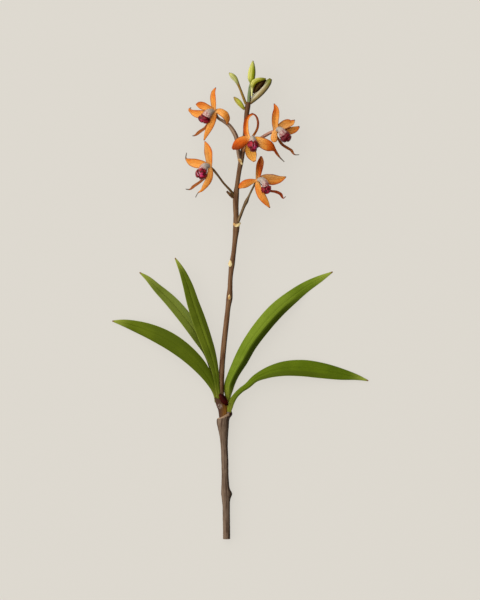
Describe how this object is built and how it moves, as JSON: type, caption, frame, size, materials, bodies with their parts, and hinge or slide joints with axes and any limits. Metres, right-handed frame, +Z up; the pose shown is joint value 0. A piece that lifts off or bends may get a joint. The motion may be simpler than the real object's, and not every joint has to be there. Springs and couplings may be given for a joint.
{
  "type": "epidendrum orchid",
  "caption": "Cut flowering cane of an epidendrum orchid laid on its back, with strap leaves, a slim brown stem, orange flowers with crimson lips, and green buds.",
  "frame": {"origin": "on the table, under the middle of the plant's outline as it lies", "axes": "+Y along the plant from the cut end to the buds, +X to its right seen from above, +Z up from the table"},
  "size_m": [0.232, 0.431, 0.0413],
  "materials": {
    "cane_bark": "dry ribbed bark, grey brown, paler on one side",
    "sheath_paper": "dry papery sheath, reddish brown with pale flecks",
    "stem_skin": "smooth satin skin, warm brown",
    "scale_maroon": "satin dark maroon scale",
    "scale_cream": "matte pale yellow scale",
    "scale_brown": "matte dark brown scale with a pale edge",
    "leaf_green": "satin leathery leaf with a midrib and fine lengthwise veins",
    "tepal_orange": "soft satin orange, yellower at the tips and redder in the folds",
    "column_blush": "waxy pale pink",
    "lip_crimson": "satin crimson with pink lights",
    "bud_green": "satin yellow green, olive at the tips"
  },
  "bodies": {
    "root": {"cane": "cane_bark", "leaf_sheath": "sheath_paper", "flower_stem": "stem_skin", "eye_lower": "scale_cream", "eye_upper": "scale_cream", "scale_maroon": "scale_maroon", "scale_stalk_1": "scale_cream", "scale_stalk_2": "scale_brown", "scale_stalk_5": "scale_cream", "bract_dark": "scale_brown", "leaf_left_low": "leaf_green", "leaf_left_middle": "leaf_green", "leaf_left_high": "leaf_green", "leaf_right_high": "leaf_green", "leaf_right_low": "leaf_green", "bud_top": "bud_green", "bud_left_tall": "bud_green", "bud_left_small": "bud_green", "bud_right_arched": "bud_green", "bud_right_long": "bud_green", "flower_1_tepals": "tepal_orange", "flower_1_column": "column_blush", "flower_1_lip": "lip_crimson", "flower_1_stalk": "stem_skin", "flower_2_tepals": "tepal_orange", "flower_2_column": "column_blush", "flower_2_lip": "lip_crimson", "flower_2_stalk": "stem_skin", "flower_3_tepals": "tepal_orange", "flower_3_column": "column_blush", "flower_3_lip": "lip_crimson", "flower_3_stalk": "stem_skin", "flower_4_tepals": "tepal_orange", "flower_4_column": "column_blush", "flower_4_lip": "lip_crimson", "flower_4_stalk": "stem_skin", "flower_5_tepals": "tepal_orange", "flower_5_column": "column_blush", "flower_5_lip": "lip_crimson", "flower_5_stalk": "stem_skin"}
  },
  "joints": []
}
